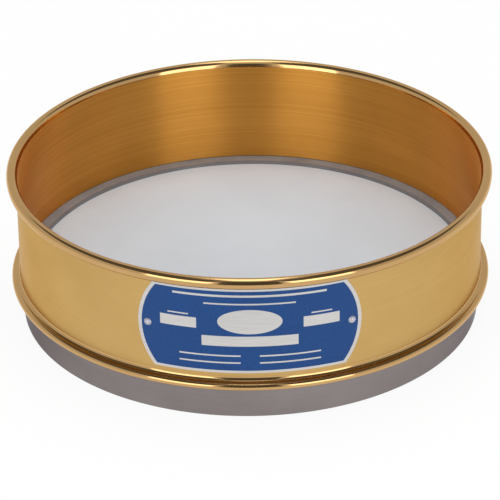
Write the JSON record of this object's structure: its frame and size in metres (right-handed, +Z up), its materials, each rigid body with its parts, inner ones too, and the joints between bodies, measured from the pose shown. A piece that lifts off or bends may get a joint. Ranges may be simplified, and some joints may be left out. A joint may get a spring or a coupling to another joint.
{
  "type": "test sieve",
  "caption": "Round laboratory test sieve: brass wall with rolled beads, fine steel wire cloth, stacking steel skirt and a riveted blue nameplate.",
  "frame": {"origin": "centre of the skirt's bottom edge, on the sieve's axis", "axes": "+Z up along the sieve's axis, through the cloth and out of the bowl; the nameplate faces -Y; +X to the right of someone who faces the nameplate"},
  "size_m": [0.213, 0.213, 0.0682],
  "materials": {
    "brass": "outside polished with mirror-bright beads, inside brushed round the wall",
    "skirt_steel": "satin stainless steel",
    "cloth_steel": "fine woven stainless wire, even and matt from a step away",
    "fillet_metal": "smooth grey fillet of solder",
    "plate_metal": "bare satin aluminium",
    "plate_enamel": "smooth blue enamel fill",
    "rivet_metal": "bright domed heads"
  },
  "bodies": {
    "root": {"frame": "brass", "skirt": "skirt_steel", "wire_cloth": "cloth_steel", "cloth_fillet": "fillet_metal", "nameplate": "plate_metal", "nameplate_enamel": "plate_enamel", "rivet_left": "rivet_metal", "rivet_right": "rivet_metal"}
  },
  "joints": []
}
